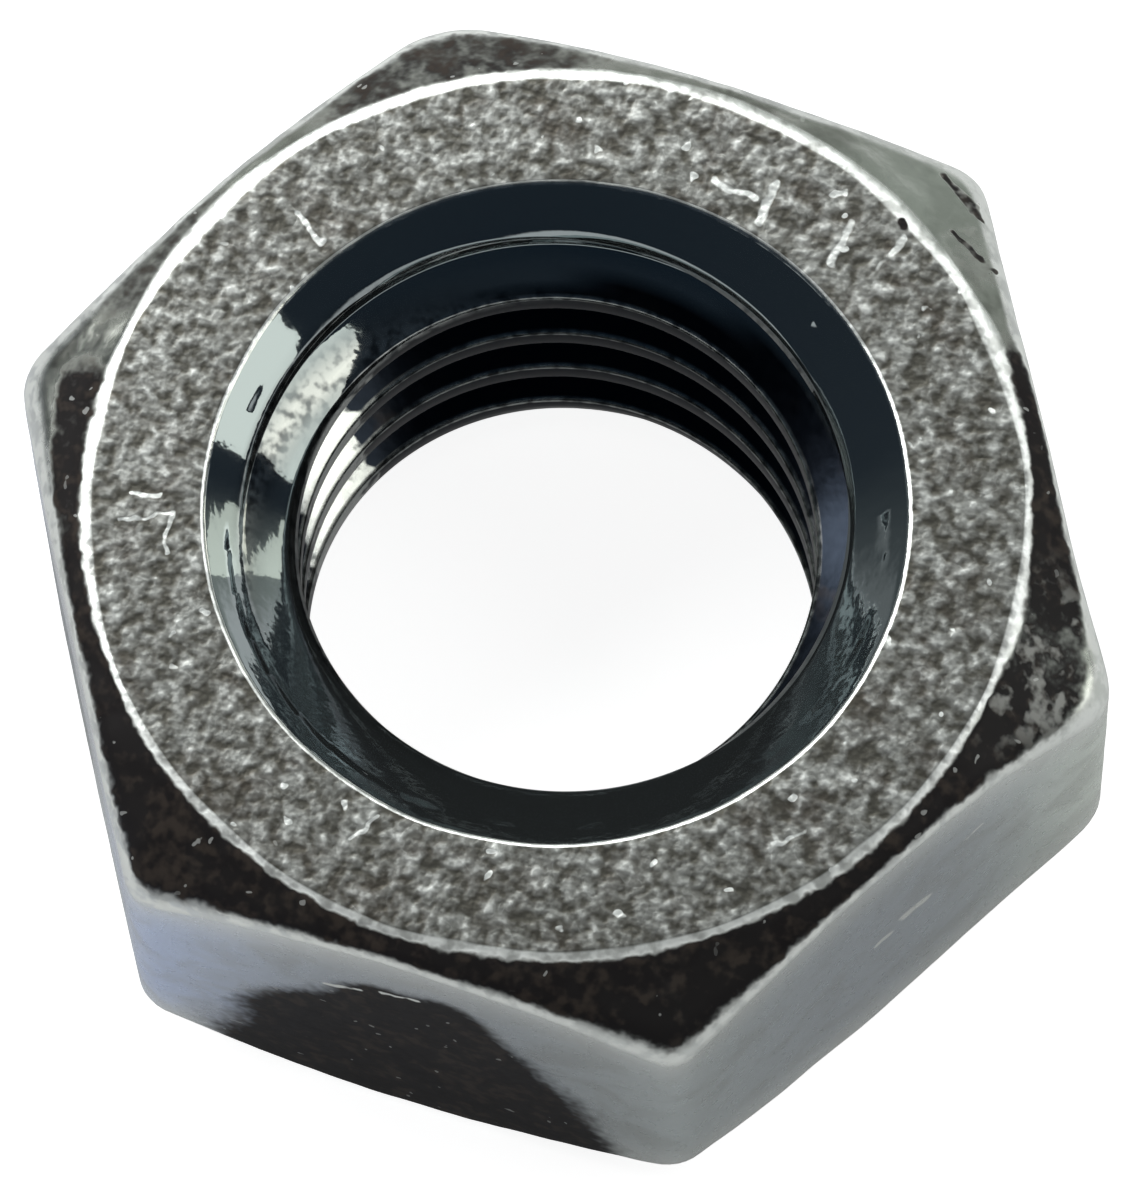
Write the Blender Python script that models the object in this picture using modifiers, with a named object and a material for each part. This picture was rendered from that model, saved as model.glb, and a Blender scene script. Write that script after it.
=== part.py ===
"""Hex nut, M8 coarse right-hand thread, double chamfered, one piece of steel.

The nut stands on one bearing face: the origin is the centre of that face, +Z runs
along the thread axis, and two opposite corners of the hexagon lie on the X axis.
"""

import math

import bmesh
import bpy

MM = 0.001

# Hexagon
WIDTH_ACROSS_FLATS = 13.0 * MM
HEIGHT = 6.3 * MM
CORNER_RADIUS = 0.45 * MM  # the forging die rounds the six upright edges
CORNER_SEGMENTS = 4

# Chamfer of both ends: a cone that starts this far inside the flats
BEARING_FACE_INSET = 0.33 * MM
CHAMFER_ANGLE = math.radians(30.0)  # below the bearing face

# Thread
THREAD_DIAMETER = 8.0 * MM
PITCH = 1.25 * MM
FLANK_ANGLE = math.radians(30.0)  # each flank, from square to the axis
PITCH_DIAMETER_ALLOWANCE = 0.08 * MM
MAJOR_ALLOWANCE = 0.10 * MM  # how far the tap cuts past the nominal diameter
MINOR_ALLOWANCE = 0.14 * MM  # how far the drill passes the basic minor diameter
THREAD_START_ANGLE = math.radians(-170.0)

# Countersink of both ends
COUNTERSINK_ALLOWANCE = 1.2 * MM  # mouth diameter over the thread diameter
COUNTERSINK_HALF_ANGLE = math.radians(49.0)  # from the axis

# Fineness of the round shapes. The thread and the cones share it, so their facets line up.
ROUND_SEGMENTS = 72
WELD_DISTANCE = 0.001 * MM
SHARP_EDGE_ANGLE = math.radians(20.0)

# How far a cutter reaches past what it cuts
CUTTER_REACH = 1.0 * MM

# What follows from the sizes above
BEARING_RADIUS = WIDTH_ACROSS_FLATS / 2 - BEARING_FACE_INSET
CORNER_REACH = WIDTH_ACROSS_FLATS / math.sqrt(3.0)
MAJOR_RADIUS = (THREAD_DIAMETER + MAJOR_ALLOWANCE) / 2
MINOR_RADIUS = (THREAD_DIAMETER - 1.0825 * PITCH + MINOR_ALLOWANCE) / 2
PITCH_RADIUS = (THREAD_DIAMETER - 0.6495 * PITCH + PITCH_DIAMETER_ALLOWANCE) / 2
COUNTERSINK_RADIUS = (THREAD_DIAMETER + COUNTERSINK_ALLOWANCE) / 2


def clear_scene():
    for old in list(bpy.data.objects):
        bpy.data.objects.remove(old, do_unlink=True)


def new_collection(name):
    collection = bpy.data.collections.new(name)
    bpy.context.scene.collection.children.link(collection)
    return collection


def place_in(obj, collection):
    for old in list(obj.users_collection):
        old.objects.unlink(obj)
    collection.objects.link(obj)
    return obj


def as_cutter(obj, cutters):
    obj.hide_render = True
    obj.display_type = "WIRE"
    return place_in(obj, cutters)


def zinc_plated_steel():
    material = bpy.data.materials.new("zinc_plated_steel")
    material.use_nodes = True
    shader = material.node_tree.nodes["Principled BSDF"]
    shader.inputs["Base Color"].default_value = (0.46, 0.47, 0.46, 1.0)
    shader.inputs["Metallic"].default_value = 1.0
    shader.inputs["Roughness"].default_value = 0.3
    return material


def profile_object(name, points):
    """An open line of (radius, height) points in the XZ plane, for a Screw modifier."""
    mesh = bpy.data.meshes.new(name)
    edges = [(i, i + 1) for i in range(len(points) - 1)]
    mesh.from_pydata([(r, 0.0, z) for r, z in points], edges, [])
    obj = bpy.data.objects.new(name, mesh)
    bpy.context.scene.collection.objects.link(obj)
    return obj


def screw(obj, steps, offset=0.0, turns=1):
    turned = obj.modifiers.new("Turn", "SCREW")
    turned.axis = "Z"
    turned.steps = steps
    turned.render_steps = steps
    turned.screw_offset = offset
    turned.iterations = turns
    turned.use_merge_vertices = offset == 0.0
    turned.merge_threshold = WELD_DISTANCE
    return turned


def weld(obj):
    joined = obj.modifiers.new("Weld", "WELD")
    joined.merge_threshold = WELD_DISTANCE


def boolean(obj, operation, other):
    cut = obj.modifiers.new(f"{operation.title()} {other.name}", "BOOLEAN")
    cut.operation = operation
    cut.solver = "EXACT"
    cut.object = other


def make_solid(obj):
    """Turns the modifiers' result into the object's own mesh, with the slivers of the
    cuts closed up, smooth between its real edges."""
    graph = bpy.context.evaluated_depsgraph_get()
    mesh = bpy.data.meshes.new_from_object(obj.evaluated_get(graph))
    obj.modifiers.clear()
    shape = bmesh.new()
    shape.from_mesh(mesh)
    bmesh.ops.remove_doubles(shape, verts=shape.verts, dist=WELD_DISTANCE)
    bmesh.ops.dissolve_degenerate(shape, edges=shape.edges, dist=WELD_DISTANCE)
    shape.to_mesh(mesh)
    shape.free()
    obj.data = mesh
    mesh.name = obj.name
    mesh.shade_smooth()
    mesh.set_sharp_from_angle(angle=SHARP_EDGE_ANGLE)


def hexagon_prism():
    """The bar that the nut is cut from, with its six upright edges rounded."""
    bpy.ops.mesh.primitive_cylinder_add(
        vertices=6,
        radius=CORNER_REACH,
        depth=HEIGHT,
        location=(0.0, 0.0, HEIGHT / 2),
        rotation=(0.0, 0.0, math.radians(30.0)),
    )
    prism = bpy.context.object
    prism.name = "hex_nut"
    prism.data.name = "hex_nut"
    upright = prism.data.attributes.new("bevel_weight_edge", "FLOAT", "EDGE")
    for edge in prism.data.edges:
        low, high = (prism.data.vertices[v].co.z for v in edge.vertices)
        upright.data[edge.index].value = float(abs(high - low) > HEIGHT / 2)
    rounding = prism.modifiers.new("Rounded corners", "BEVEL")
    rounding.limit_method = "WEIGHT"
    rounding.offset_type = "OFFSET"
    rounding.width = CORNER_RADIUS * math.tan(math.radians(30.0))
    rounding.segments = CORNER_SEGMENTS
    return prism


def chamfer_envelope():
    """The turned shape that both chamfers leave: two flat cones, base to base. They
    run on past the bearing faces, which stay the bar's own ends."""
    slope = math.tan(CHAMFER_ANGLE)
    wide = CORNER_REACH + CUTTER_REACH
    drop = (wide - BEARING_RADIUS) * slope
    narrow = BEARING_RADIUS - CUTTER_REACH
    rise = CUTTER_REACH * slope
    outline = [
        (0.0, HEIGHT + rise),
        (narrow, HEIGHT + rise),
        (wide, HEIGHT - drop),
        (wide, drop),
        (narrow, -rise),
        (0.0, -rise),
    ]
    envelope = profile_object("chamfer_envelope", outline)
    screw(envelope, ROUND_SEGMENTS)
    weld(envelope)
    return envelope


def groove_half_width(radius):
    """Half the thread groove's width, which the flanks narrow towards its root."""
    return PITCH / 4 - (radius - PITCH_RADIUS) * math.tan(FLANK_ANGLE)


def tap():
    """The thread's own shape as a solid rod: one pitch of its outline, turned up a
    helix, then cut square past both ends of the nut and capped."""
    at_crest = groove_half_width(MINOR_RADIUS)
    at_root = groove_half_width(MAJOR_RADIUS)
    outline = [
        (MINOR_RADIUS, PITCH),
        (MINOR_RADIUS, PITCH / 2 + at_crest),
        (MAJOR_RADIUS, PITCH / 2 + at_root),
        (MAJOR_RADIUS, PITCH / 2 - at_root),
        (MINOR_RADIUS, PITCH / 2 - at_crest),
        (MINOR_RADIUS, 0.0),
    ]
    low, high = -CUTTER_REACH, HEIGHT + CUTTER_REACH
    turns = math.ceil((high - low) / PITCH) + 2
    helix = profile_object("thread_helix", outline)
    screw(helix, ROUND_SEGMENTS, offset=PITCH, turns=turns)
    weld(helix)
    graph = bpy.context.evaluated_depsgraph_get()
    mesh = bpy.data.meshes.new_from_object(helix.evaluated_get(graph))
    bpy.data.objects.remove(helix, do_unlink=True)

    shape = bmesh.new()
    shape.from_mesh(mesh)
    bmesh.ops.translate(shape, vec=(0.0, 0.0, low - PITCH), verts=shape.verts)
    for height, outward in ((low, -1.0), (high, 1.0)):
        geometry = shape.verts[:] + shape.edges[:] + shape.faces[:]
        cut = bmesh.ops.bisect_plane(
            shape,
            geom=geometry,
            plane_co=(0.0, 0.0, height),
            plane_no=(0.0, 0.0, outward),
            dist=WELD_DISTANCE / 10,
            clear_outer=True,
        )
        rim = [e for e in cut["geom_cut"] if isinstance(e, bmesh.types.BMEdge)]
        bmesh.ops.edgeloop_fill(shape, edges=rim)
    bmesh.ops.recalc_face_normals(shape, faces=shape.faces)
    shape.to_mesh(mesh)
    shape.free()
    rod = bpy.data.objects.new("tap", mesh)
    bpy.context.scene.collection.objects.link(rod)
    rod.rotation_euler.z = THREAD_START_ANGLE
    return rod


def countersink(name, face_height, outward):
    """A cone whose surface meets the bearing face at the countersink's mouth. It
    starts past the face and ends at a point inside the bore."""
    slope = math.tan(COUNTERSINK_HALF_ANGLE)
    wide = COUNTERSINK_RADIUS + CUTTER_REACH * slope
    depth = wide / slope
    bpy.ops.mesh.primitive_cone_add(
        vertices=ROUND_SEGMENTS,
        radius1=0.0,
        radius2=wide,
        depth=depth,
        location=(0.0, 0.0, face_height + outward * (CUTTER_REACH - depth / 2)),
        rotation=(0.0 if outward > 0 else math.pi, 0.0, 0.0),
    )
    cone = bpy.context.object
    cone.name = name
    return cone


def build():
    clear_scene()
    parts = new_collection("Hex nut")
    cutters = new_collection("Cutters")

    nut = place_in(hexagon_prism(), parts)
    nut.data.materials.append(zinc_plated_steel())
    boolean(nut, "INTERSECT", as_cutter(chamfer_envelope(), cutters))
    boolean(nut, "DIFFERENCE", as_cutter(tap(), cutters))
    for name, height, outward in (
        ("countersink_top", HEIGHT, 1.0),
        ("countersink_bottom", 0.0, -1.0),
    ):
        boolean(nut, "DIFFERENCE", as_cutter(countersink(name, height, outward), cutters))
    make_solid(nut)


build()
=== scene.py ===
"""Hex nut, M8, double chamfered, in bright zinc-plated steel: its finished surface.

The nut is one closed mesh. Its outside is an outline of bearing face, chamfer and flat,
rounded at each edge and carried round the thread axis; its bore follows the thread, row
by row up the helix. One steel finish covers it, with a weight for each kind of surface.
"""

import math

import bmesh
import bpy
from mathutils import Matrix, Vector, noise


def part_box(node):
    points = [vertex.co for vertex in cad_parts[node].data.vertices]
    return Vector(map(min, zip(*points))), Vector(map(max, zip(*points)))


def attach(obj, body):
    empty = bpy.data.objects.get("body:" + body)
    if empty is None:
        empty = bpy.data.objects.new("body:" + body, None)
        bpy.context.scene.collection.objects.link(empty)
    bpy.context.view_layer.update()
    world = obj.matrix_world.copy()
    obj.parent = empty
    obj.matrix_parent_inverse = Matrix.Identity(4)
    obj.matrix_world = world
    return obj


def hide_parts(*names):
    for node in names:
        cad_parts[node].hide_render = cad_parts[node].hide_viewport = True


bl_info = {
    "name": "Hex nut",
    "version": (1, 0, 0),
    "blender": (4, 5, 0),
    "location": "3D View > Sidebar > Hex nut",
    "description": "Makes a zinc-plated hex nut and the pale stage it stands on",
    "category": "Add Mesh",
}

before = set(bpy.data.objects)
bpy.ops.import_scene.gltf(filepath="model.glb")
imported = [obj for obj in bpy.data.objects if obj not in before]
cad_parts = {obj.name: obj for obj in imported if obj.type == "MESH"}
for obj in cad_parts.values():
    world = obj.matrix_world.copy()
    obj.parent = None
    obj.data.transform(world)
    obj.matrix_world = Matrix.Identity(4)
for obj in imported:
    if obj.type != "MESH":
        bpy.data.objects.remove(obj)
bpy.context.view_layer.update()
NUT_LOW, NUT_HIGH = (Vector(corner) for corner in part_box("hex_nut"))

MM = 0.001
TURN = 2.0 * math.pi
HEX_SECTOR = TURN / 6.0

# Fineness of the mesh
COLUMNS = 432
STEPS = {
    "cone": 4,
    "mouth": 6,
    "bearing": 16,
    "rim": 8,
    "chamfer": 13,
    "shoulder": 8,
    "flat": 9,
}
NECK_DEPTH = 0.25 * MM  # the thread's own rows stop this far inside the bearing faces
NECK_MARGIN = 0.012 * MM
FLANK_ANGLE = math.radians(30.0)  # of the thread, from square to the axis
CREST_SOFTENING = 0.03 * MM
RUNOUT_SOFTENING = 0.07 * MM
TRIM_LIMIT = 0.47  # how much of a side the rounding of its corner may take

# Kinds of surface, and the marks on them: black film that is partly painted dark
# reflection, tints, bright thread, and a painted bright reflection on the flats
ZONES = ("bearing", "chamfer", "flat", "cone", "bore", "edge", "lip")
MARKS = ("film_and_dark_reflection", "green", "lilac", "bright_thread", "painted_reflection_strip")

# How far forging moves each kind of surface: broad swells, then fine grain
SWELL = {"chamfer": 0.030 * MM, "flat": 0.010 * MM, "bearing": 0.003 * MM}
GRAIN = {"chamfer": 0.006 * MM, "flat": 0.0015 * MM, "bearing": 0.0045 * MM}

# The corners from the one on +X round: extra rounding and how far each stands proud
CORNER_ROUNDING = (0.25 * MM, 0.15 * MM, 0.75 * MM, 0.25 * MM, 0.10 * MM, 0.10 * MM)
CORNER_SWELL = (0.14 * MM, 0.04 * MM, -0.03 * MM, -0.03 * MM, -0.02 * MM, 0.0)
SWELL_SPREAD = 9.0  # degrees
CORNER_LIP = 0.7  # how much more the shoulder is rounded at a corner

# How far each line of the outline strays as it goes round: reach and waves in a turn
MOUTH_STRAY = (0.02 * MM, 4.0)
RIM_STRAY = (0.03 * MM, 3.0)
FLAT_STRAY = (0.012 * MM, 2.0)  # inwards only
SHOULDER_STRAYS = ((0.05 * MM, 5.0), (0.03 * MM, 14.0))

# Black film on the chamfers, partly painted dark reflection of the dark near side of the
# room: (turn, half its length, strength), angles in degrees
CHAMFER_FILM_AND_DARK_REFLECTION = (
    (-30.0, 46.0, 0.95),
    (-75.0, 30.0, 1.0),
    (-112.0, 30.0, 1.0),
    (-145.0, 24.0, 0.85),
    (-172.0, 14.0, 0.75),
    (22.0, 24.0, 0.95),
    (51.0, 7.0, 0.4),
    (120.0, 26.0, 0.60),
    (162.0, 16.0, 0.55),
)
# The film and the painted dark reflection end outside a radius in millimetres: (turn in
# degrees, radius)
FILM_AND_DARK_REFLECTION_LIMITS = (
    (0.0, 7.25),
    (22.0, 6.55),
    (45.0, 6.6),
    (60.0, 7.2),
    (120.0, 7.2),
    (165.0, 6.95),
    (180.0, 6.85),
    (200.0, 6.55),
    (220.0, 6.75),
    (240.0, 7.35),
    (270.0, 7.5),
    (330.0, 7.5),
    (350.0, 7.3),
    (360.0, 7.25),
)
# Black patches on each flat, from the one that faces +X+Y round: film, and on the flat that
# faces -Y a painted dark reflection of the nut's shadow: (middle, half its length and top,
# in millimetres, and strength)
FLAT_FILM_AND_DARK_REFLECTION = (
    (1.1, 1.3, 2.2, 0.42),
    (-0.8, 1.9, 4.6, 0.46),
    (0.9, 1.5, 3.0, 0.50),
    (-1.6, 1.4, 4.0, 0.45),
    (0.0, 2.05, 4.9, 1.0),
    (2.2, 0.8, 1.4, 0.30),
)
DARK_PATCH_SPREAD = 0.42  # how much wider, on each side, a flat's dark patch gets per unit down
DARK_PATCH_WAIST = 2.6  # the height in millimetres where a patch has its own length
DARK_PATCH_WAVES = (0.7, 0.9)  # of its sides and of its top, per millimetre

# Tints of the plating at each corner, from the one on +X round
GREEN_CORNERS = (1.0, 0.9, 0.2, 0.0, 0.1, 0.35)
LILAC_CORNERS = (0.0, 0.0, 0.3, 0.5, 1.0, 0.0)
CORNER_TINT_REACH = 1.5 * MM
PAINTED_REFLECTION_HEIGHT = 0.75 * MM  # of the painted bright reflection along each flat's end
BRIGHT_THREAD_TURN = 171.0  # degrees, where the thread is coloured bright metal, so that the window card glints there
BRIGHT_THREAD_SPREAD = 15.0

# Scratches in the top bearing face and dark gouges in its chamfer: two ends (x, y) and the
# width, and painted glints on the flats with ends (x, y, z), all in millimetres
SCRATCHES = (
    ((0.52, 5.02), (0.80, 4.94), 0.10),
    ((0.80, 4.94), (1.14, 4.97), 0.08),
    ((1.33, 5.22), (1.25, 4.66), 0.09),
    ((2.48, 5.01), (2.34, 4.34), 0.09),
    ((3.14, 5.00), (2.96, 4.42), 0.09),
    ((-4.52, 2.94), (-4.06, 2.62), 0.08),
    ((-5.30, -1.48), (-4.95, -1.36), 0.06),
    ((-5.35, -1.90), (-4.80, -1.55), 0.05),
    ((-4.80, -1.55), (-4.66, -2.12), 0.06),
    ((4.10, -3.55), (4.42, -3.20), 0.06),
    ((-1.10, -5.10), (-0.86, -4.72), 0.06),
)
PAINTED_FLAT_GLINTS = (
    ((5.78, -2.99, 3.55), (5.92, -2.75, 3.51), 0.20),
    ((5.52, -3.44, 3.30), (5.62, -3.27, 3.36), 0.14),
    ((6.30, -2.09, 4.60), (6.40, -1.92, 4.68), 0.10),
    ((-1.10, -6.5, 4.40), (-0.60, -6.5, 4.55), 0.08),
    ((-0.30, -6.5, 4.70), (0.20, -6.5, 4.85), 0.07),
    ((-5.80, -2.95, 2.10), (-5.62, -3.25, 2.60), 0.08),
    ((-6.10, 2.43, 4.00), (-5.90, 2.80, 3.90), 0.08),
    ((0.80, 6.5, 2.20), (1.50, 6.5, 2.50), 0.08),
    ((5.30, 4.08, 1.90), (5.50, 3.73, 2.60), 0.08),
)
GOUGES = (
    ((3.34, 6.23), (3.87, 5.87), 0.12),
    ((3.87, 5.87), (4.24, 5.62), 0.10),
    ((3.70, 5.36), (4.44, 5.01), 0.09),
    ((3.04, 5.20), (3.08, 5.14), 0.12),
)


def length(name, description, default):
    return bpy.props.FloatProperty(
        name=name,
        description=description,
        default=default,
        min=0.0,
        precision=6,
        unit="LENGTH",
        subtype="DISTANCE",
    )


def angle(name, description, degrees):
    return bpy.props.FloatProperty(
        name=name,
        description=description,
        default=math.radians(degrees),
        unit="ROTATION",
        subtype="ANGLE",
    )


def colour(name, description, default):
    return bpy.props.FloatVectorProperty(
        name=name,
        description=description,
        default=default,
        min=0.0,
        max=1.0,
        size=3,
        subtype="COLOR",
    )


def amount(name, description, default):
    return bpy.props.FloatProperty(name=name, description=description, default=default)


class HexNutSizes(bpy.types.PropertyGroup):
    """The nut's sizes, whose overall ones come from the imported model."""

    across_flats: length(
        "Across flats", "Width over two opposite flats", NUT_HIGH.y - NUT_LOW.y
    )
    height: length("Height", "Between the two bearing faces", NUT_HIGH.z - NUT_LOW.z)
    corner_radius: length("Corner radius", "Of the six upright edges", 0.45 * MM)
    bearing_diameter: length(
        "Bearing diameter", "Of the flat ring, where the chamfer starts", 12.34 * MM
    )
    chamfer_angle: angle("Chamfer angle", "How far the chamfer falls away", 30.0)
    mouth_diameter: length("Mouth diameter", "Of the countersink at the face", 9.2 * MM)
    countersink_angle: angle(
        "Countersink angle", "From the axis to the cone's side", 49.0
    )
    major_diameter: length("Major diameter", "Of the thread's roots", 8.10 * MM)
    minor_diameter: length("Minor diameter", "Of the thread's crests", 6.787 * MM)
    pitch: length("Pitch", "Of the thread", 1.25 * MM)
    pitch_diameter: length(
        "Pitch diameter", "Where groove and ridge are equally wide", 7.268 * MM
    )
    thread_lift: length(
        "Thread lift", "Height of a groove's middle on the +X side", 1.465 * MM
    )
    mouth_rounding: length("Mouth rounding", "Radius of the mouth's edge", 0.12 * MM)
    rim_rounding: length("Rim rounding", "Radius of the bearing face's rim", 0.48 * MM)
    shoulder_rounding: length(
        "Shoulder rounding", "Radius between chamfer and flat", 0.42 * MM
    )


class HexNutFinish(bpy.types.PropertyGroup):
    """The colours of the plated steel."""

    plate: colour("Plate", "Zinc on the bearing faces", (0.36, 0.37, 0.35))
    plate_dull: colour("Dull plate", "Zinc where it is worn dull", (0.115, 0.112, 0.096))
    plate_bright: colour("Bright plate", "Burnished specks and edges", (0.90, 0.93, 0.90))
    chamfer: colour("Chamfer", "Zinc on the chamfers", (0.46, 0.48, 0.44))
    # the black of the film, also used as painted dark reflection on the chamfers and on the
    # -Y flat
    film_and_dark_reflection: colour("Film", "Black film left by the forge and oil", (0.012, 0.010, 0.011))
    rust: colour("Brown film", "Where the film is thin", (0.085, 0.066, 0.052))
    flat: colour("Flat", "Zinc on the flats", (0.50, 0.55, 0.60))
    green: colour("Green tint", "Passivated zinc at some corners", (0.77, 0.84, 0.77))
    lilac: colour("Lilac tint", "Passivated zinc at other corners", (0.55, 0.65, 0.88))
    cone: colour("Countersink", "Smooth turned zinc", (0.40, 0.455, 0.465))
    # near black: partly oil, partly painted shade inside the bore
    bore: colour("Bore", "Oiled thread", (0.018, 0.023, 0.032))


class HexNutStage(bpy.types.PropertyGroup):
    """Where the camera stands, and the light around the nut."""

    azimuth: angle("Azimuth", "Camera's turn round the nut", 20.264)
    elevation: angle("Elevation", "Camera's height above the floor", 69.982)
    roll: angle("Roll", "Camera's roll", -2.376)
    distance: length("Distance", "From camera to nut", 152.1 * MM)
    lens: amount("Lens", "Focal length in millimetres", 344.08)
    drift_right: length("Drift right", "How far the aim is right of the nut", 0.165 * MM)
    drift_down: length("Drift down", "How far the aim is below the nut", 0.095 * MM)
    floor: colour("Floor", "Paper under the nut", (0.55, 0.55, 0.55))


SOFTBOX_DISTANCE = 0.25

# The lights: turn to the right of straight away from the camera and rise, width and
# height as seen from the nut, all in degrees, then brightness and tone
SOFTBOXES = (
    ("key_softbox", -35.0, 45.0, 70.0, 30.0, 4.5, (1.0, 1.0, 1.0)),
    ("side_softbox", 62.0, 50.0, 44.0, 20.0, 2.2, (1.0, 1.0, 1.0)),
    ("top_softbox", 180.0, 82.0, 40.0, 12.0, 0.8, (1.0, 1.0, 0.97)),
    ("window_card", 97.0, 29.0, 26.0, 38.0, 1.4, (1.0, 1.0, 0.92)),
    ("low_card", 68.0, 7.0, 13.0, 9.0, 0.9, (1.0, 1.0, 0.86)),
)


FLOOR_HALF = 1.5
FLOOR_GAP = 0.01 * MM

# ---------------------------------------------------------------- outline of the outside


def soft_max(a, b, softness):
    return (a + b + math.sqrt((a - b) ** 2 + softness**2)) / 2.0


def soft_min(a, b, softness):
    return -soft_max(-a, -b, softness)


def step_between(low, high, value):
    """0 below low, 1 above high, and smooth between them."""
    t = min(1.0, max(0.0, (value - low) / (high - low)))
    return t * t * (3.0 - 2.0 * t)


def hexagon_radius(turn, half_width, corner_radius):
    """Distance from the axis to the rounded hexagon, whose corners are on the X axis."""
    corner_radius += CORNER_ROUNDING[round(turn / HEX_SECTOR) % 6]
    from_flat = abs((turn % HEX_SECTOR) - HEX_SECTOR / 2.0)
    straight = (half_width - corner_radius) * math.tan(HEX_SECTOR / 2.0)
    if from_flat < math.atan2(straight, half_width):
        return half_width / math.cos(from_flat)
    from_corner = HEX_SECTOR / 2.0 - from_flat
    reach = (half_width - corner_radius) / math.cos(HEX_SECTOR / 2.0)
    across = reach * math.sin(from_corner)
    return reach * math.cos(from_corner) + math.sqrt(corner_radius**2 - across**2)


def round_corner(before, corner, after, radius, steps):
    """Points of the arc that rounds one corner, from one side to the other."""
    back = (before - corner).normalized()
    on = (after - corner).normalized()
    bend = math.pi - back.angle(on)
    shorter = min((before - corner).length, (after - corner).length)
    trim = min(radius * math.tan(bend / 2.0), TRIM_LIMIT * shorter)
    start, end = corner + back * trim, corner + on * trim
    points = []
    for i in range(steps + 1):
        t = i / steps
        points.append(start * (1 - t) ** 2 + corner * 2 * t * (1 - t) + end * t**2)
    return points


def angle_between(turn, middle):
    """The angle from one turn to another, the short way, in degrees."""
    return abs((math.degrees(turn) - middle + 180.0) % 360.0 - 180.0)


def wander(turn, seed, waves):
    """A smooth random value from about -1 to 1 that closes up after a full turn."""
    place = Vector((math.cos(turn), math.sin(turn), 0.0)) * waves
    return noise.noise(place + Vector((0.0, 0.0, seed)))


def stray(turn, seed, line):
    reach, waves = line
    return reach * wander(turn, seed, waves)


def chamfer_drop(sizes, radius):
    """How far below the bearing face the chamfer is at this radius."""
    return (radius - sizes.bearing_diameter / 2) * math.tan(sizes.chamfer_angle)


def half_outline(sizes, turn, seed):
    """(radius, depth below the bearing face) from the countersink's neck to the middle
    of the flat, as a list of (zone before, zone after, share, point)."""
    mouth = sizes.mouth_diameter / 2 + stray(turn, seed, MOUTH_STRAY)
    rim = sizes.bearing_diameter / 2 + stray(turn, seed + 5, RIM_STRAY)
    side = hexagon_radius(turn, sizes.across_flats / 2, sizes.corner_radius)
    side -= FLAT_STRAY[0] + stray(turn, 50.0, FLAT_STRAY)
    nearest = round(turn / HEX_SECTOR)
    off = angle_between(turn, 60.0 * nearest) / SWELL_SPREAD
    side += CORNER_SWELL[nearest % 6] * math.exp(-(off**2))
    drop = chamfer_drop(sizes, side)
    for i, line in enumerate(SHOULDER_STRAYS):
        drop += stray(turn, seed + 13 + 2 * i, line)
    neck = mouth - NECK_DEPTH * math.tan(sizes.countersink_angle)
    corners = [
        Vector((neck, NECK_DEPTH)),
        Vector((mouth, 0.0)),
        Vector((rim, 0.0)),
        Vector((side, drop)),
        Vector((side, sizes.height / 2)),
    ]
    radii = [
        sizes.mouth_rounding,
        sizes.rim_rounding * (1.0 + 0.5 * wander(turn, seed + 17, 4.0)),
        sizes.shoulder_rounding
        * (1.0 + 0.3 * wander(turn, seed + 19, 3.0) + CORNER_LIP * math.exp(-(off**2))),
    ]
    surfaces = ("cone", "bearing", "chamfer", "flat")
    edges = ("mouth", "rim", "shoulder")
    rows = []
    last = corners[0]
    for i, surface in enumerate(surfaces):
        arc = [corners[i + 1]]
        if i < len(edges):
            before, corner, after = corners[i : i + 3]
            arc = round_corner(before, corner, after, radii[i], STEPS[edges[i]])
        for k in range(STEPS[surface]):
            rows.append((surface, surface, 0.0, last.lerp(arc[0], k / STEPS[surface])))
        if i < len(edges):
            for k in range(STEPS[edges[i]]):
                rows.append((surface, surfaces[i + 1], k / STEPS[edges[i]], arc[k]))
        last = arc[-1]
    rows.append(("flat", "flat", 0.0, last))
    return rows


def zone_weights(before, after, share):
    """How much a row belongs to each kind of surface, an edge's arc to both its sides."""
    weights = dict.fromkeys(ZONES + MARKS, 0.0)
    weights[before] += 1.0 - share
    weights[after] += share
    weights["edge"] = 4.0 * share * (1.0 - share) if before != after else 0.0
    return weights


# ------------------------------------------------------------------ film, tints and painted reflections


def chamfer_film_and_dark_reflection(turn, radius, top):
    """How black the chamfer is, from film and painted dark reflection. The lower end
    carries the same patches, turned half way round."""
    degrees = (math.degrees(turn) + (0.0 if top else 180.0)) % 360.0
    clear = 1.0
    for middle, reach, strength in CHAMFER_FILM_AND_DARK_REFLECTION:
        off = angle_between(math.radians(degrees), middle)
        clear *= 1.0 - strength * step_between(reach, 0.45 * reach, off)
    for before, after in zip(FILM_AND_DARK_REFLECTION_LIMITS, FILM_AND_DARK_REFLECTION_LIMITS[1:]):
        if before[0] <= degrees <= after[0]:
            share = (degrees - before[0]) / (after[0] - before[0])
            limit = before[1] + (after[1] - before[1]) * share
    return (1.0 - clear) * step_between(limit + 0.12, limit - 0.12, radius / MM)


def flat_film_and_dark_reflection(place, turn):
    """How black a flat is, from film and painted dark reflection, by the patch that belongs
    to that flat.
    """
    index = int((turn % TURN) // HEX_SECTOR)
    normal = HEX_SECTOR * (index + 0.5)
    along = (-place.x * math.sin(normal) + place.y * math.cos(normal)) / MM
    height = place.z / MM
    middle, reach, top, strength = FLAT_FILM_AND_DARK_REFLECTION[index]
    sides, tops = (place / MM * waves for waves in DARK_PATCH_WAVES)
    off = abs(along - middle) - DARK_PATCH_SPREAD * (DARK_PATCH_WAIST - height)
    off += (1.6 - strength) * noise.noise(sides)
    height += (1.4 - strength) * noise.noise(tops + Vector((7.0, 0.0, 0.0)))
    inside = step_between(reach + 0.9, reach - 0.7, off)
    return strength * inside * step_between(top + 0.5, top - 0.5, height)


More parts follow.
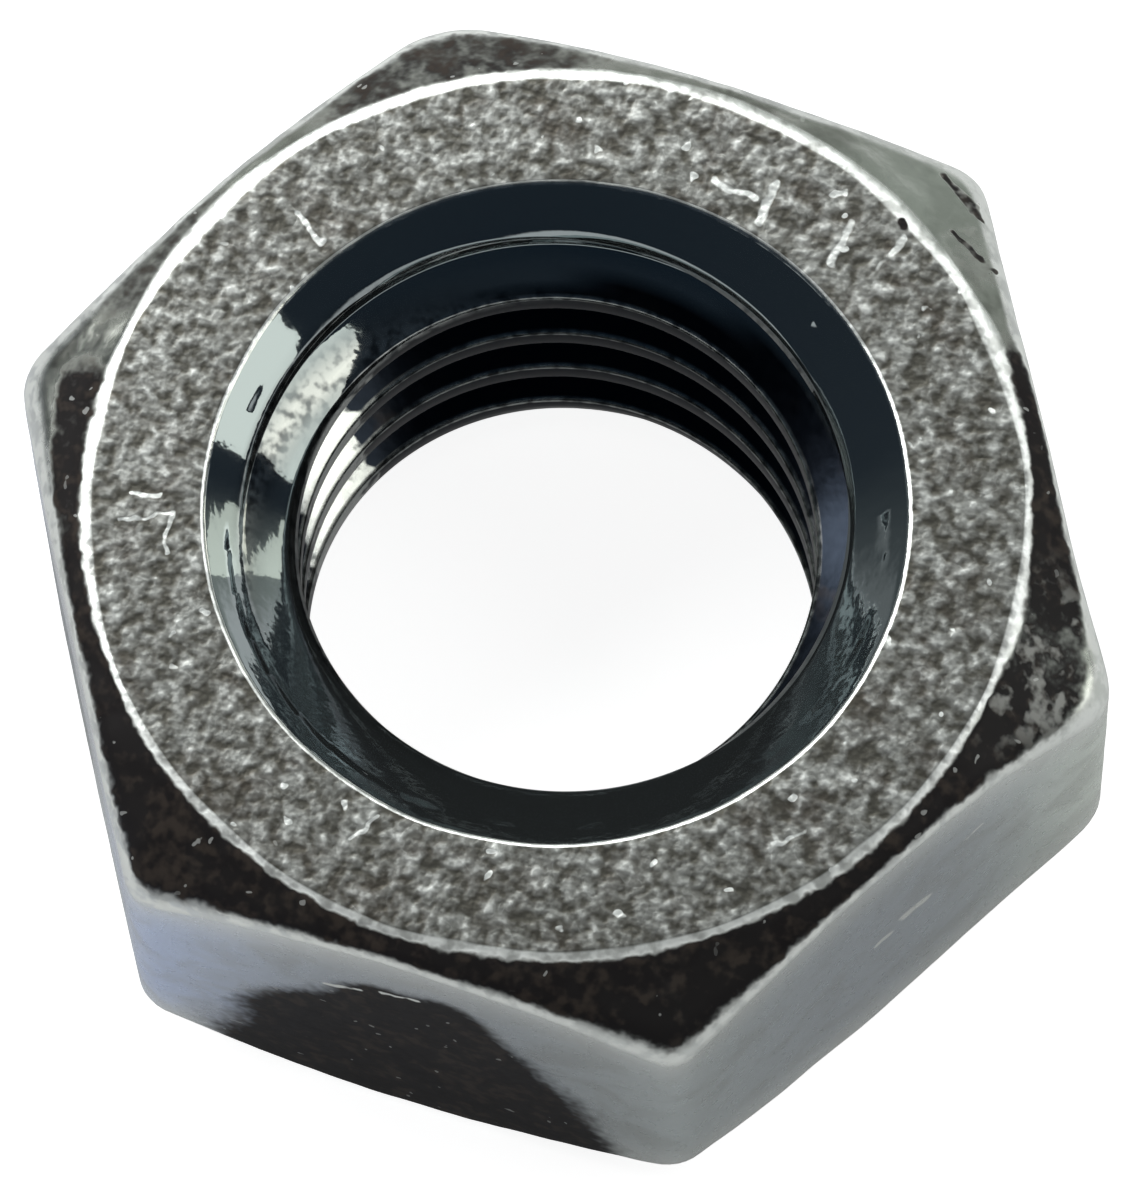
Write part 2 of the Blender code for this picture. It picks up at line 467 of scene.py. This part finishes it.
def corner_tint(turn, strengths, radius):
    index = round(turn / HEX_SECTOR) % 6
    off = math.radians(angle_between(turn, 60.0 * index)) * radius
    return strengths[index] * math.exp(-((off / CORNER_TINT_REACH) ** 2))


def mark_outside(weights, place, turn, top, below):
    """Adds the film with its painted dark reflection, the tints and the painted bright
    reflection along each flat's ends to a point of the outside, which is this far below the
    chamfer's end."""
    radius = math.hypot(place.x, place.y)
    film_and_dark_reflection = chamfer_film_and_dark_reflection(turn, radius, top) * weights["chamfer"]
    weights["film_and_dark_reflection"] = film_and_dark_reflection + flat_film_and_dark_reflection(place, turn) * weights["flat"]
    outer = weights["chamfer"] + weights["flat"]
    weights["green"] = corner_tint(turn, GREEN_CORNERS, radius) * outer
    weights["lilac"] = corner_tint(turn, LILAC_CORNERS, radius) * outer
    weights["painted_reflection_strip"] = weights["flat"] * math.exp(-((below / PAINTED_REFLECTION_HEIGHT) ** 2))


# -------------------------------------------------------------------------- thread


def groove_height(sizes, turn):
    """Height of one groove's middle at this turn round the axis, right-handed."""
    return sizes.thread_lift + sizes.pitch * turn / TURN


def groove_half_width(sizes, radius):
    return sizes.pitch / 4 - (radius - sizes.pitch_diameter / 2) * math.tan(FLANK_ANGLE)


def bore_radii(sizes, turn, height):
    """Distances from the axis to the thread and, near the mouths, to the countersink."""
    crest, root = sizes.minor_diameter / 2, sizes.major_diameter / 2
    phase = (height - groove_height(sizes, turn)) / sizes.pitch
    off_middle = abs(phase - round(phase)) * sizes.pitch
    spread = (sizes.pitch / 4 - off_middle) / math.tan(FLANK_ANGLE)
    thread = soft_max(sizes.pitch_diameter / 2 + spread, crest, CREST_SOFTENING)
    thread = soft_min(thread, root, CREST_SOFTENING)
    depth = min(height, sizes.height - height)
    cone = sizes.mouth_diameter / 2 - depth * math.tan(sizes.countersink_angle)
    return thread, cone


def thread_rows(sizes):
    """Rows of one pitch as (share of the pitch, how much it is a crest's lip), closest
    at the groove's four edges."""
    crest = groove_half_width(sizes, sizes.minor_diameter / 2) / sizes.pitch
    root = groove_half_width(sizes, sizes.major_diameter / 2) / sizes.pitch
    near = CREST_SOFTENING / sizes.pitch
    rows = {0.0: 0.0, 0.5: 0.0}
    for side in (-1, 1):
        for offset, lip in ((-1.4, 0.0), (-0.5, 1.0), (0.5, 1.0), (1.4, 0.0)):
            rows[(side * (crest + near * offset)) % 1.0] = lip
            rows[(side * (root + near * offset)) % 1.0] = 0.0
        for share in (0.35, 0.65):
            rows[(side * (root + (crest - root) * share)) % 1.0] = 0.0
    return sorted(rows.items())


def bore_weights(sizes, turn, thread, cone, lip):
    """The countersink's turned finish reaches as far in as its cone clears the crests."""
    weights = dict.fromkeys(ZONES + MARKS, 0.0)
    inside = (cone - sizes.minor_diameter / 2) / RUNOUT_SOFTENING
    weights["cone"] = step_between(-0.5, 0.5, inside)
    weights["bore"] = 1.0 - weights["cone"]
    runout = math.exp(-(((cone - thread) / (1.5 * RUNOUT_SOFTENING)) ** 2))
    weights["lip"] = max(lip * weights["bore"], runout)
    off = angle_between(turn, BRIGHT_THREAD_TURN)
    weights["bright_thread"] = weights["bore"] * math.exp(-((off / BRIGHT_THREAD_SPREAD) ** 2))
    return weights


# ------------------------------------------------------------------------- the mesh


def forged(point, normal, weights, seed):
    """Moves a point of the outside along its normal, as forging and plating leave it."""
    place = point / MM + Vector((seed, 0.0, 0.0))
    swell = noise.noise(place * 0.55) + 0.45 * noise.noise(place * 1.7)
    grain = noise.noise(place * 3.1) + 0.6 * noise.noise(place * 6.3)
    broad = sum(reach * weights[zone] for zone, reach in SWELL.items())
    fine = sum(reach * weights[zone] for zone, reach in GRAIN.items())
    return point + normal * (swell * broad + grain * fine)


class NutMesh:
    """Collects the vertices of the nut with their weights, then its faces."""

    def __init__(self):
        self.shape = bmesh.new()
        layers = self.shape.verts.layers.float
        self.layers = {name: layers.new(name) for name in ZONES + MARKS}

    def vertex(self, point, weights):
        vertex = self.shape.verts.new(point)
        for name, weight in weights.items():
            vertex[self.layers[name]] = weight
        return vertex

    def face(self, *corners):
        ring = [v for i, v in enumerate(corners) if v is not corners[i - 1]]
        if len(ring) > 2:
            self.shape.faces.new(ring).smooth = True

    def finish(self, name):
        bmesh.ops.recalc_face_normals(self.shape, faces=self.shape.faces)
        mesh = bpy.data.meshes.new(name)
        self.shape.to_mesh(mesh)
        self.shape.free()
        return mesh


def outside_column(sizes, turn, top):
    """One column of the outside, from the countersink's neck to the flat's middle."""
    seed = 3.0 if top else 41.0
    rows = half_outline(sizes, turn, seed)
    outward = Vector((math.cos(turn), math.sin(turn), 0.0))
    up = Vector((0.0, 0.0, 1.0 if top else -1.0))
    face = sizes.height if top else 0.0
    side_drop = chamfer_drop(sizes, rows[-1][3].x)
    column = []
    for i, (before, after, share, point) in enumerate(rows):
        ahead = rows[min(i + 1, len(rows) - 1)][3] - rows[max(i - 1, 0)][3]
        normal = (outward * ahead.y + up * ahead.x).normalized()
        weights = zone_weights(before, after, share)
        place = outward * point.x + Vector((0.0, 0.0, face)) - up * point.y
        mark_outside(weights, place, turn, top, max(0.0, point.y - side_drop))
        if 0 < i < len(rows) - 1:
            place = forged(place, normal, weights, seed)
        column.append((place, weights))
    return column


def bore_column(nut, sizes, turn, levels, foot, head):
    """One column of the bore, up the helix, between the necks of the two countersinks."""
    outward = Vector((math.cos(turn), math.sin(turn), 0.0))
    column = []
    for pitches, lip in levels:
        height = groove_height(sizes, turn) + pitches * sizes.pitch
        if height < NECK_DEPTH + NECK_MARGIN:
            column.append(foot)
        elif height > sizes.height - NECK_DEPTH - NECK_MARGIN:
            column.append(head)
        else:
            thread, cone = bore_radii(sizes, turn, height)
            radius = soft_max(thread, cone, RUNOUT_SOFTENING)
            place = outward * radius + Vector((0.0, 0.0, height))
            column.append(nut.vertex(place, bore_weights(sizes, turn, thread, cone, lip)))
    return column


def build_nut(sizes):
    nut = NutMesh()
    rows = thread_rows(sizes)
    first = math.floor(-sizes.thread_lift / sizes.pitch) - 2
    count = math.ceil(sizes.height / sizes.pitch) + 4
    levels = [(first + i + share, lip) for i in range(count) for share, lip in rows]
    outside, bore = [], []
    for i in range(COLUMNS):
        turn = TURN * i / COLUMNS
        ring = outside_column(sizes, turn, True)
        ring += outside_column(sizes, turn, False)[-2::-1]
        outside.append([nut.vertex(place, weights) for place, weights in ring])
        foot, head = outside[-1][-1], outside[-1][0]
        bore.append(bore_column(nut, sizes, turn, levels, foot, head))
    for i in range(COLUMNS):
        here, there = outside[i], outside[(i + 1) % COLUMNS]
        for k in range(len(here) - 1):
            nut.face(here[k], there[k], there[k + 1], here[k + 1])
        here, there = bore[i], bore[(i + 1) % COLUMNS]
        if i == COLUMNS - 1:
            # after a full turn the helix has climbed one pitch
            here = [here[0]] * len(rows) + here
            there = there + [there[-1]] * len(rows)
        for k in range(len(here) - 1):
            nut.face(here[k], there[k], there[k + 1], here[k + 1])
    return nut.finish("hex_nut_surface")


# -------------------------------------------------------------------------- shaders


class Value:
    """A socket that takes part in arithmetic, each operator adding its Math node."""

    def __init__(self, graph, socket):
        self.graph = graph
        self.socket = socket

    def __add__(self, other):
        return self.graph.math("ADD", self, other)

    __radd__ = __add__

    def __sub__(self, other):
        return self.graph.math("SUBTRACT", self, other)

    def __rsub__(self, other):
        return self.graph.math("SUBTRACT", other, self)

    def __mul__(self, other):
        return self.graph.math("MULTIPLY", self, other)

    __rmul__ = __mul__

    def also(self, output):
        """Another output of the same node."""
        return Value(self.graph, self.socket.node.outputs[output])


class Graph:
    """The node tree of one material, or of the world."""

    def __init__(self, tree):
        self.tree = tree
        tree.nodes.clear()

    def add(self, kind, settings, values, output=0):
        """One node: its type, its settings, and its sockets' values or links."""
        node = self.tree.nodes.new(kind)
        for name, setting in settings.items():
            setattr(node, name, setting)
        for name, value in values.items():
            if isinstance(value, Value):
                self.tree.links.new(value.socket, node.inputs[name])
            else:
                node.inputs[name].default_value = value
        return Value(self, node.outputs[output]) if node.outputs else None

    def math(self, operation, *values):
        return self.add("ShaderNodeMath", {"operation": operation}, dict(enumerate(values)))

    def vector(self, operation, *values, scale=None, output="Vector"):
        sockets = dict(enumerate(values))
        if scale is not None:
            sockets["Scale"] = scale
        return self.add("ShaderNodeVectorMath", {"operation": operation}, sockets, output)

    def dot(self, first, second):
        return self.vector("DOT_PRODUCT", first, second, output="Value")

    def zone(self, name):
        return self.add("ShaderNodeAttribute", {"attribute_name": name}, {}, "Fac")

    def noise(self, place, scale, detail=2.0, roughness=0.5, distortion=0.0):
        values = {
            "Vector": place,
            "Scale": scale,
            "Detail": detail,
            "Roughness": roughness,
            "Distortion": distortion,
        }
        return self.add("ShaderNodeTexNoise", {}, values, "Fac")

    def smooth(self, value, low, high, to_low=0.0, to_high=1.0):
        """to_low below low, to_high above high, and smooth between them."""
        values = {0: value, 1: low, 2: high, 3: to_low, 4: to_high}
        return self.add("ShaderNodeMapRange", {"interpolation_type": "SMOOTHSTEP"}, values)

    def mix(self, first, second, factor, blend="MIX"):
        """A mix of two colours, each a socket or three numbers."""
        ends = [c if isinstance(c, Value) else (*c, 1.0) for c in (first, second)]
        settings = {"data_type": "RGBA", "blend_type": blend, "clamp_factor": True}
        return self.add("ShaderNodeMix", settings, {0: factor, 6: ends[0], 7: ends[1]}, 2)


def stroke(g, place, start, end, width):
    """1 on a straight mark between two points, falling to 0 over its own width."""
    start, end = Vector(start), Vector(end)
    along = end - start
    offset = g.vector("SUBTRACT", place, start)
    share = g.dot(offset, along / along.length_squared)
    share = g.math("MINIMUM", g.math("MAXIMUM", share, 0.0), 1.0)
    nearest = g.vector("SCALE", along, scale=share)
    off = g.vector("DISTANCE", offset, nearest, output="Value")
    return g.smooth(off, 0.35 * width, 0.75 * width, 1.0, 0.0)


def on_top(sizes, x, y):
    """The point of the top face, or of the chamfer outside it, above (x, y)."""
    fall = max(0.0, chamfer_drop(sizes, math.hypot(x, y) * MM))
    return x, y, (sizes.height - fall) / MM


def strokes(g, place, marks, sizes):
    """All the marks of one table, whose ends without a height are on the top."""
    everything = 0.0
    for *ends, width in marks:
        start, end = (point if len(point) == 3 else on_top(sizes, *point) for point in ends)
        everything = g.math("MAXIMUM", everything, stroke(g, place, start, end, width))
    return everything


def scatter(g, place, scale, size, share):
    """Small round spots, one in some of the cells that they are strewn over."""
    cells = {"Vector": place, "Scale": scale, "Randomness": 1.0}
    near = g.add("ShaderNodeTexVoronoi", {}, cells, "Distance")
    picked = g.smooth(near.also("Color"), 1.0 - share, 1.0 - 0.8 * share)
    return g.smooth(near, 0.7 * size, size, 1.0, 0.0) * picked


def ridges(g, place, scale, width):
    """Thin crooked ridges, as on hammered foil, where a noise passes its middle value."""
    off = g.math("ABSOLUTE", g.noise(place, scale, 2.0, 0.6, 0.4) - 0.5)
    return g.smooth(off, 0.0, width, 1.0, 0.0)


def zinc_plated_steel(finish, sizes):
    """Bright zinc on steel: mottled bearing faces, black film on the chamfers and the flats
    that is partly painted dark reflection, tinted flats with a painted bright reflection
    along their ends and painted glints, turned countersinks, a dark thread that is partly
    oil and partly painted shade, and every edge worn to bright metal."""
    material = bpy.data.materials.new("zinc_plated_steel")
    material.use_nodes = True
    g = Graph(material.node_tree)
    metres = g.add("ShaderNodeTexCoord", {}, {}, "Object")
    place = g.vector("SCALE", metres, scale=1 / MM)
    jitter = g.add("ShaderNodeTexNoise", {}, {"Vector": place, "Scale": 2.6}, "Color")
    jitter = g.vector("SUBTRACT", jitter, (0.5, 0.5, 0.5))
    crooked = g.vector("MULTIPLY_ADD", jitter, (0.5, 0.5, 0.5), place)
    wiggly = g.vector("MULTIPLY_ADD", jitter, (0.25, 0.25, 0.25), place)
    bearing, chamfer, flat = g.zone("bearing"), g.zone("chamfer"), g.zone("flat")
    cone, bore, edge, lip = g.zone("cone"), g.zone("bore"), g.zone("edge"), g.zone("lip")

    grain = g.noise(place, 3.2, 2.5, 0.6)
    fine = g.noise(place, 6.5, 1.5, 0.5)
    patch = g.noise(place, 1.1, 3.0, 0.6, 0.6)
    foil = ridges(g, place, 2.4, 0.05) * g.smooth(grain, 0.42, 0.60)
    specks = scatter(g, crooked, 2.6, 0.19, 0.40)
    glints = scatter(g, crooked, 4.6, 0.20, 0.30)
    scratched = strokes(g, wiggly, SCRATCHES, sizes)
    gouged = strokes(g, wiggly, GOUGES, sizes)
    painted_flat_glints = strokes(g, wiggly, PAINTED_FLAT_GLINTS, sizes)

    mottle = g.smooth(grain * 0.6 + fine * 0.4, 0.39, 0.61)
    crumbs = g.smooth(fine * 0.5 + grain * 0.5, 0.55, 0.66)
    face = g.mix(finish.plate_dull, finish.plate, mottle)
    face = g.mix(face, finish.rust, g.smooth(patch, 0.48, 0.70) * 0.35)
    face = g.mix(face, finish.plate_bright, crumbs * 0.45 + foil * 0.12)
    face = g.mix(face, finish.plate_bright, g.math("MAXIMUM", specks, scratched))

    side = g.mix(finish.chamfer, finish.plate_dull, g.smooth(patch, 0.45, 0.62) * 0.5)
    side = g.mix(side, finish.green, g.zone("green") * 0.55)
    side = g.mix(side, finish.plate_bright, glints * 0.5)

    wrench = g.mix(finish.flat, finish.green, g.zone("green"))
    wrench = g.mix(wrench, finish.lilac, g.zone("lilac"))
    wrench = g.mix(wrench, finish.plate, g.smooth(patch, 0.42, 0.66) * 0.35)
    # a painted reflection: a bright band along each flat's ends
    wrench = g.mix(wrench, finish.plate_bright, g.zone("painted_reflection_strip") * 0.75)

    # the thread's near black is partly oil and partly painted shade inside the bore
    thread = g.mix(finish.bore, finish.rust, g.smooth(patch, 0.55, 0.75) * 0.35)
    thread = g.mix(thread, finish.plate_bright, lip * g.smooth(fine, 0.30, 0.60, 0.15, 0.7))
    # bright metal colour on the thread where the window card glints, in place of its
    # painted dark
    bright_thread_share = g.smooth(g.zone("bright_thread") + (grain - 0.5) * 1.2, 0.40, 0.62)
    thread = g.mix(thread, finish.plate_bright, bright_thread_share)

    steel = g.mix(thread, face, bearing)
    steel = g.mix(steel, side, chamfer)
    steel = g.mix(steel, wrench, flat)
    steel = g.mix(steel, finish.cone, cone * (1.0 - lip))
    ragged = g.zone("film_and_dark_reflection") + (grain - 0.5) * (0.6 - 0.35 * flat) + (fine - 0.5) * 0.25
    film_and_dark_reflection = g.math("MAXIMUM", g.smooth(ragged, 0.24, 0.70), gouged)
    stain = g.smooth(grain * 0.4 + fine * 0.3 + patch * 0.3, 0.48, 0.62)
    soot_and_dark_reflection = g.mix(finish.film_and_dark_reflection, finish.rust, stain * 0.40)
    lumps = g.smooth(grain * 0.6 + patch * 0.4, 0.50, 0.60)
    lumps = lumps * g.smooth(g.zone("green"), 0.3, 0.9)
    soot_and_dark_reflection = g.mix(soot_and_dark_reflection, finish.plate, lumps * 0.75)
    soot_and_dark_reflection = g.mix(soot_and_dark_reflection, finish.plate_bright, glints * 0.30)
    # black film, partly painted dark reflection on the chamfers and the flats
    steel = g.mix(steel, soot_and_dark_reflection, film_and_dark_reflection * 0.98)
    worn = edge * (1.0 - film_and_dark_reflection * 0.9)
    worn = g.smooth(worn, 0.1, 0.6) * g.smooth(grain, 0.38, 0.56, 0.45, 0.95)
    # worn bright edges, and painted glints on the flats
    wear_and_painted_glints = g.math("MAXIMUM", worn, painted_flat_glints)
    steel = g.mix(steel, finish.plate_bright, wear_and_painted_glints)

    roughness = 0.34 * bearing + 0.22 * chamfer + 0.26 * flat + 0.05 * cone + 0.20 * bore
    uneven = (fine - 0.5) * (0.12 - 0.10 * cone)
    roughness = roughness + uneven + bright_thread_share * 0.06 + edge * 0.08 + film_and_dark_reflection * 0.2

    relief = (grain * 0.5 + fine * 0.5) * (0.10 + bearing * 0.90 + chamfer * 0.2)
    bump = g.add(
        "ShaderNodeBump", {}, {"Strength": 0.5, "Distance": 0.05 * MM, "Height": relief}
    )
    metal = {
        "Base Color": steel,
        "Metallic": 1.0 - film_and_dark_reflection * 0.90 - cone * 0.03,
        "Specular IOR Level": 0.04,
        "Roughness": roughness,
        "Normal": bump,
    }
    shader = g.add("ShaderNodeBsdfPrincipled", {}, metal)
    g.add("ShaderNodeOutputMaterial", {}, {"Surface": shader})
    return material


def floor_paper(tone):
    """White paper, lit from behind where it is looked at, so that it stays even."""
    material = bpy.data.materials.new("pale_paper")
    material.use_nodes = True
    g = Graph(material.node_tree)
    seen = g.add("ShaderNodeLightPath", {}, {}, "Is Camera Ray")
    glow = g.mix((0.12, 0.12, 0.12), (0.90, 0.90, 0.90), seen)
    paper = {
        "Base Color": (*tone, 1.0),
        "Roughness": 0.9,
        "Emission Color": glow,
        "Emission Strength": 1.0,
    }
    shader = g.add("ShaderNodeBsdfPrincipled", {}, paper)
    g.add("ShaderNodeOutputMaterial", {}, {"Surface": shader})
    return material


# ---------------------------------------------------------------------------- stage


def camera_axes(stage):
    """The camera's right, up and back, as unit vectors."""
    a, e = stage.azimuth, stage.elevation
    back = Vector((math.sin(a) * math.cos(e), -math.cos(a) * math.cos(e), math.sin(e)))
    right = Vector((math.cos(a), math.sin(a), 0.0))
    up = back.cross(right)
    c, s = math.cos(stage.roll), math.sin(stage.roll)
    return right * c + up * s, up * c - right * s, back


def make_camera(stage, aim):
    data = bpy.data.cameras.new("camera")
    data.lens = stage.lens
    data.sensor_width = 36.0
    data.clip_start = 1.0 * MM
    data.clip_end = 10.0
    camera = bpy.data.objects.new("camera", data)
    right, up, back = camera_axes(stage)
    turned = Matrix((right, up, back)).transposed().to_4x4()
    drift = right * stage.drift_right - up * stage.drift_down
    camera.matrix_world = Matrix.Translation(aim + drift + back * stage.distance) @ turned
    bpy.context.scene.collection.objects.link(camera)
    bpy.context.scene.camera = camera


def from_far_side(stage, turn, rise):
    """A direction: turn to the right of straight away from the camera, then up."""
    a = stage.azimuth - math.radians(turn)
    level = math.cos(math.radians(rise))
    return Vector(
        (-math.sin(a) * level, math.cos(a) * level, math.sin(math.radians(rise)))
    )


def make_softbox(stage, name, turn, rise, wide, high, brightness, tone):
    """A soft light of a given angular size, aimed at the nut."""
    data = bpy.data.lights.new(name, "AREA")
    data.shape = "RECTANGLE"
    data.size = 2 * SOFTBOX_DISTANCE * math.tan(math.radians(wide) / 2)
    data.size_y = 2 * SOFTBOX_DISTANCE * math.tan(math.radians(high) / 2)
    data.energy = brightness * math.pi * data.size * data.size_y
    data.color = tone
    light = bpy.data.objects.new(name, data)
    direction = from_far_side(stage, turn, rise)
    light.matrix_world = (
        Matrix.Translation(direction * SOFTBOX_DISTANCE)
        @ direction.to_track_quat("Z", "Y").to_matrix().to_4x4()
    )
    light.visible_camera = False
    bpy.context.scene.collection.objects.link(light)


def make_floor(stage):
    shape = bmesh.new()
    under = Matrix.Translation((0.0, 0.0, -FLOOR_GAP))
    bmesh.ops.create_grid(shape, x_segments=1, y_segments=1, size=FLOOR_HALF, matrix=under)
    mesh = bpy.data.meshes.new("floor")
    shape.to_mesh(mesh)
    shape.free()
    mesh.materials.append(floor_paper(stage.floor))
    floor = bpy.data.objects.new("floor", mesh)
    bpy.context.scene.collection.objects.link(floor)


def light_room(stage):
    """White to look at. To the nut it is paler on the far side and low down, and dark
    above the near side and in one part of the left, as a studio is."""
    world = bpy.data.worlds.new("studio")
    world.use_nodes = True
    g = Graph(world.node_tree)
    direction = g.add("ShaderNodeTexCoord", {}, {}, "Generated")
    away = g.dot(direction, from_far_side(stage, 0.0, 0.0))
    left = g.dot(direction, from_far_side(stage, -66.0, 0.0))
    up = g.dot(direction, (0.0, 0.0, 1.0))
    far = g.smooth(away, 0.18, 0.55)
    near = g.smooth(away, -0.45, -0.25, 1.0, 0.0)
    shade = g.smooth(left, 0.78, 0.92, 1.0, 0.2)
    low = g.smooth(up - 0.17 * near, 0.05, 0.115, 1.0, 0.0)
    tone = g.mix((0.010, 0.018, 0.028), (0.32, 0.34, 0.32), far * shade)
    tone = g.mix(tone, (0.65, 0.65, 0.65), low * shade)
    seen = g.add("ShaderNodeLightPath", {}, {}, "Is Camera Ray")
    shown = g.mix(tone, (1.0, 1.0, 1.0), seen)
    background = g.add("ShaderNodeBackground", {}, {"Color": shown, "Strength": 1.0})
    g.add("ShaderNodeOutputWorld", {}, {"Surface": background})
    bpy.context.scene.world = world


# ------------------------------------------------------------------------ operators


class HEXNUT_OT_nut(bpy.types.Operator):
    """Make the nut and its plated finish"""

    bl_idname = "hexnut.nut"
    bl_label = "Make nut"

    def execute(self, context):
        sizes = context.scene.hex_nut_sizes
        mesh = build_nut(sizes)
        mesh.materials.append(zinc_plated_steel(context.scene.hex_nut_finish, sizes))
        nut = bpy.data.objects.new("hex_nut_finished", mesh)
        context.scene.collection.objects.link(nut)
        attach(nut, "root")
        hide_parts("hex_nut")
        return {"FINISHED"}


class HEXNUT_OT_stage(bpy.types.Operator):
    """Set up the pale floor, the soft light and the camera"""

    bl_idname = "hexnut.stage"
    bl_label = "Set up stage"

    def execute(self, context):
        stage = context.scene.hex_nut_stage
        make_floor(stage)
        light_room(stage)
        for name, turn, rise, wide, high, brightness, tone in SOFTBOXES:
            make_softbox(stage, name, turn, rise, wide, high, brightness, tone)
        make_camera(stage, (NUT_LOW + NUT_HIGH) / 2)
        context.scene.view_settings.view_transform = "Standard"
        return {"FINISHED"}


class HEXNUT_PT_panel(bpy.types.Panel):
    """Lists what makes the nut and its stage"""

    bl_idname = "HEXNUT_PT_panel"
    bl_label = "Hex nut"
    bl_space_type = "VIEW_3D"
    bl_region_type = "UI"
    bl_category = "Hex nut"

    def draw(self, context):
        for group in ("hex_nut_sizes", "hex_nut_finish", "hex_nut_stage"):
            settings = getattr(context.scene, group)
            for name in settings.__annotations__:
                self.layout.prop(settings, name)
        self.layout.operator(HEXNUT_OT_nut.bl_idname)
        self.layout.operator(HEXNUT_OT_stage.bl_idname)


CLASSES = (
    HexNutSizes,
    HexNutFinish,
    HexNutStage,
    HEXNUT_OT_nut,
    HEXNUT_OT_stage,
    HEXNUT_PT_panel,
)


def register():
    for made in CLASSES:
        bpy.utils.register_class(made)
    scene = bpy.types.Scene
    scene.hex_nut_sizes = bpy.props.PointerProperty(type=HexNutSizes)
    scene.hex_nut_finish = bpy.props.PointerProperty(type=HexNutFinish)
    scene.hex_nut_stage = bpy.props.PointerProperty(type=HexNutStage)


def unregister():
    for name in ("hex_nut_sizes", "hex_nut_finish", "hex_nut_stage"):
        delattr(bpy.types.Scene, name)
    for made in reversed(CLASSES):
        bpy.utils.unregister_class(made)


def main():
    register()
    bpy.ops.hexnut.nut()
    bpy.ops.hexnut.stage()


if __name__ == "__main__":
    main()
